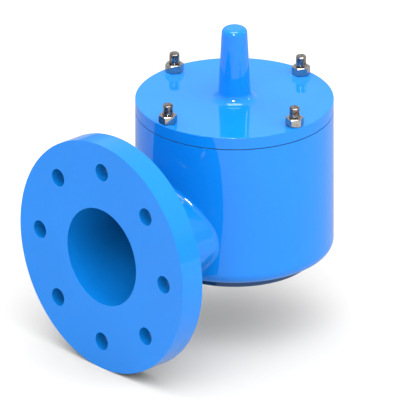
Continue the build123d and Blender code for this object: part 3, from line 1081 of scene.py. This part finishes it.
class VALVE_OT_stem(bpy.types.Operator):
    """Makes the ground stem with its hexagon foot and the thread under its nuts"""

    bl_idname = "valve.stem"
    bl_label = "Stem"

    def execute(self, context):
        low, high = heights("stem")
        foot_flats = 24.0 * MM
        foot_top = heights("seal_retainer")[0]
        thread_low = heights("weight_disc_upper")[1] - 4.0 * MM
        thread_high = heights("weight_lock_nut")[1] + 3.0 * MM
        bm = bmesh.new()
        corner_r, face_r, drop = chamfered_hexagon(foot_flats)
        foot = [(0, low), (face_r, low), (corner_r, low + drop), (corner_r, foot_top), (0, foot_top)]
        turned(bm, foot, steps=48, closed=False)
        mill_flats(bm, foot_flats)
        lower = bmesh.new()
        shank = [(0, foot_top), (STEM_R, foot_top), (STEM_R, thread_low), (0, thread_low)]
        turned(lower, shank, steps=48, closed=False)
        take_in(bm, lower)
        thread = bmesh.new()
        threaded_rod(thread, STEM_R, context.scene.valve_fasteners.stem_pitch, thread_low, thread_high)
        take_in(bm, thread)
        upper = bmesh.new()
        turned(upper, self.upper_section(thread_high, high), steps=48, closed=False)
        take_in(bm, upper)
        bmesh.ops.translate(bm, verts=bm.verts[:], vec=VALVE_AXIS)
        material = turned_steel("Ground stem steel", (0.68, 0.68, 0.67, 1.0), 1500.0, 0.07, 0.18)
        finished(bm, "ground_stem", material, "stem", LIFTING)
        return {"FINISHED"}

    def upper_section(self, low, high):
        """The ground length over the thread, with its top edge rounded."""
        round_r = 1.5 * MM
        section = [(0, low), (STEM_R, low)]
        for step in range(5):
            angle = step * math.pi / 8
            section.append((STEM_R - round_r * (1 - math.cos(angle)), high - round_r * (1 - math.sin(angle))))
        return section + [(0, high)]


class VALVE_OT_stem_nuts(bpy.types.Operator):
    """Makes the nut that clamps the weights and its thin lock nut"""

    bl_idname = "valve.stem_nuts"
    bl_label = "Stem nuts"

    def execute(self, context):
        for node in ("weight_nut", "weight_lock_nut"):
            low, high = heights(node)
            bm = bmesh.new()
            hexagon_nut(bm, 18.0 * MM, STEM_R + NUT_ROOM, low, high)
            bmesh.ops.translate(bm, verts=bm.verts[:], vec=VALVE_AXIS)
            material = bpy.data.materials["Stainless fastener"]
            finished(bm, "chamfered_" + node, material, node, LIFTING, NUT_SHARP)
        return {"FINISHED"}


class VALVE_OT_guide_bush(bpy.types.Operator):
    """Finishes the polymer bush that guides the stem"""

    bl_idname = "valve.guide_bush"
    bl_label = "Guide bush"

    def execute(self, context):
        dress(("guide_bush",), bush_polymer())
        return {"FINISHED"}


class VALVE_OT_stage(bpy.types.Operator):
    """Sets the floor, the light and the camera"""

    bl_idname = "valve.stage"
    bl_label = "Stage, light and camera"

    def execute(self, context):
        self.lay_floor(context)
        self.light_room(context)
        self.hang_lamps(context)
        self.set_camera(context)
        context.scene.view_settings.view_transform = "Standard"
        return {"FINISHED"}

    def lay_floor(self, context):
        """A round floor under the valve's lowest point."""
        bm = bmesh.new()
        bmesh.ops.create_circle(bm, cap_ends=True, segments=96, radius=FLOOR_R)
        bmesh.ops.translate(bm, verts=bm.verts[:], vec=(0, VALVE_AXIS.y, cad_low.z))
        mesh = bpy.data.meshes.new("floor")
        bm.to_mesh(mesh)
        bm.free()
        mesh.materials.append(floor_sheet())
        floor = bpy.data.objects.new("floor", mesh)
        context.scene.collection.objects.link(floor)

    def light_room(self, context):
        """A pale room, brighter overhead. The camera sees it white."""
        settings = context.scene.valve_stage
        world = bpy.data.worlds.new("Studio")
        context.scene.world = world
        world.use_nodes = True
        tree = world.node_tree
        place = put(tree, "ShaderNodeTexCoord")
        parts = put(tree, "ShaderNodeSeparateXYZ")
        join(tree, place.outputs["Generated"], parts.inputs["Vector"])
        up = spread(tree, parts.outputs["Z"], 0.0, 1.0)
        overhead = sums(tree, "MULTIPLY", sums(tree, "MULTIPLY", up, up), settings.ceiling)
        room = sums(tree, "ADD", overhead, settings.room)
        walls = self.walls(tree, place.outputs["Generated"], parts)
        rays = put(tree, "ShaderNodeLightPath")
        shown = blend_colours(tree, rays.outputs["Is Glossy Ray"], room, walls)
        final = blend_colours(tree, rays.outputs["Is Camera Ray"], shown, grey(1.0))
        join(tree, final, tree.nodes["Background"].inputs["Color"])

    def walls(self, tree, direction, parts):
        """What gloss and metal see: walls paler on one side, doorways, a soft box overhead and two lamps."""
        side = spread(tree, brighter_side(tree, direction), -1.0, 1.0, *WALLS)
        raised = spread(tree, parts.outputs["Z"], 0.0, UPPER_FROM)
        wall = put(tree, "ShaderNodeMix", {"B": UPPER_WALLS}, data_type="FLOAT")
        join(tree, raised, wall.inputs["Factor"])
        join(tree, side, wall.inputs["A"])
        angle = sums(tree, "ARCTAN2", parts.outputs["Y"], parts.outputs["X"])
        waves = put(tree, "ShaderNodeMath", operation="SINE")
        join(tree, sums(tree, "MULTIPLY", angle, DOORWAYS), waves.inputs[0])
        door = spread(tree, waves.outputs[0], *DOORWAY_EDGE)
        doorway = sums(tree, "MULTIPLY", door, spread(tree, parts.outputs["Z"], *DOORWAY_TOP))
        darker = sums(tree, "MULTIPLY", doorway, DOORWAY_DARKER)
        dimmed = sums(tree, "SUBTRACT", wall.outputs["Result"], darker)
        softbox = spread(tree, parts.outputs["Z"], *SOFTBOX_EDGE)
        lit = sums(tree, "ADD", dimmed, sums(tree, "MULTIPLY", softbox, SOFTBOX_LIGHT))
        for azimuth, elevation, radius, brightness in MIRRORED_LAMPS:
            facing = put(tree, "ShaderNodeVectorMath", operation="DOT_PRODUCT")
            facing.inputs[1].default_value = towards(azimuth, elevation)
            join(tree, direction, facing.inputs[0])
            edge = math.cos(math.radians(radius * 1.1))
            inside = math.cos(math.radians(radius * 0.9))
            bulb = spread(tree, facing.outputs["Value"], edge, inside)
            lit = sums(tree, "ADD", lit, sums(tree, "MULTIPLY", bulb, brightness))
        return lit

    def hang_lamps(self, context):
        """Three wide lamps, which gloss doesn't mirror."""
        settings = context.scene.valve_stage
        # name, share of the light, and azimuth, elevation and width in degrees
        lamps = (
            ("front_lamp", settings.front_lamp, 52, 48, 60),
            ("side_lamp", settings.side_lamp, 120, 32, 40),
            ("left_lamp", settings.left_lamp, -80, 30, 40),
        )
        for name, share, azimuth, elevation, width in lamps:
            lamp = bpy.data.lights.new(name, "SUN")
            lamp.energy = math.pi * share
            lamp.angle = math.radians(width)
            hung = bpy.data.objects.new(name, lamp)
            hung.rotation_euler = (math.radians(90 - elevation), 0, math.radians(azimuth))
            hung.visible_glossy = False
            context.scene.collection.objects.link(hung)

    def set_camera(self, context):
        """A level camera with no perspective, from the photograph's side."""
        settings = context.scene.valve_stage
        level = Matrix.Rotation(settings.azimuth, 4, "Z")
        turn = level @ Matrix.Rotation(math.pi / 2 - settings.elevation, 4, "X")
        lens = bpy.data.cameras.new("photograph")
        lens.type = "ORTHO"
        lens.ortho_scale = settings.frame_height
        lens.clip_end = 20.0
        camera = bpy.data.objects.new("photograph", lens)
        away = turn @ Vector((0, 0, CAMERA_AWAY))
        camera.matrix_world = Matrix.Translation(LOOKS_AT + away) @ turn
        context.scene.collection.objects.link(camera)
        context.scene.camera = camera


STEPS = (
    VALVE_OT_effects,
    VALVE_OT_castings,
    VALVE_OT_gaskets,
    VALVE_OT_cover_studs,
    VALVE_OT_cover_nuts,
    VALVE_OT_screws,
    VALVE_OT_inlet_screen,
    VALVE_OT_seat,
    VALVE_OT_pallet,
    VALVE_OT_weights,
    VALVE_OT_stem,
    VALVE_OT_stem_nuts,
    VALVE_OT_guide_bush,
    VALVE_OT_stage,
)


class VALVE_PT_pieces(bpy.types.Panel):
    """Lists the valve's pieces and its stage"""

    bl_idname = "VALVE_PT_pieces"
    bl_label = "Relief Valve"
    bl_space_type = "VIEW_3D"
    bl_region_type = "UI"
    bl_category = "Relief Valve"

    def draw(self, context):
        column = self.layout.column()
        for step in STEPS:
            column.operator(step.bl_idname)
        for group in SETTINGS:
            settings = getattr(context.scene, group)
            for name in settings.__annotations__:
                column.prop(settings, name)


SETTINGS = {
    "valve_enamel": EnamelSettings,
    "valve_fasteners": FastenerSettings,
    "valve_screen": ScreenSettings,
    "valve_stage": StageSettings,
}


def register():
    for group, settings in SETTINGS.items():
        bpy.utils.register_class(settings)
        setattr(bpy.types.Scene, group, PointerProperty(type=settings))
    for step in STEPS:
        bpy.utils.register_class(step)
    bpy.utils.register_class(VALVE_PT_pieces)


def unregister():
    bpy.utils.unregister_class(VALVE_PT_pieces)
    for step in reversed(STEPS):
        bpy.utils.unregister_class(step)
    for group, settings in SETTINGS.items():
        delattr(bpy.types.Scene, group)
        bpy.utils.unregister_class(settings)


def main():
    register()
    for step in STEPS:
        group, name = step.bl_idname.split(".")
        getattr(getattr(bpy.ops, group), name)()


if __name__ == "__main__":
    main()
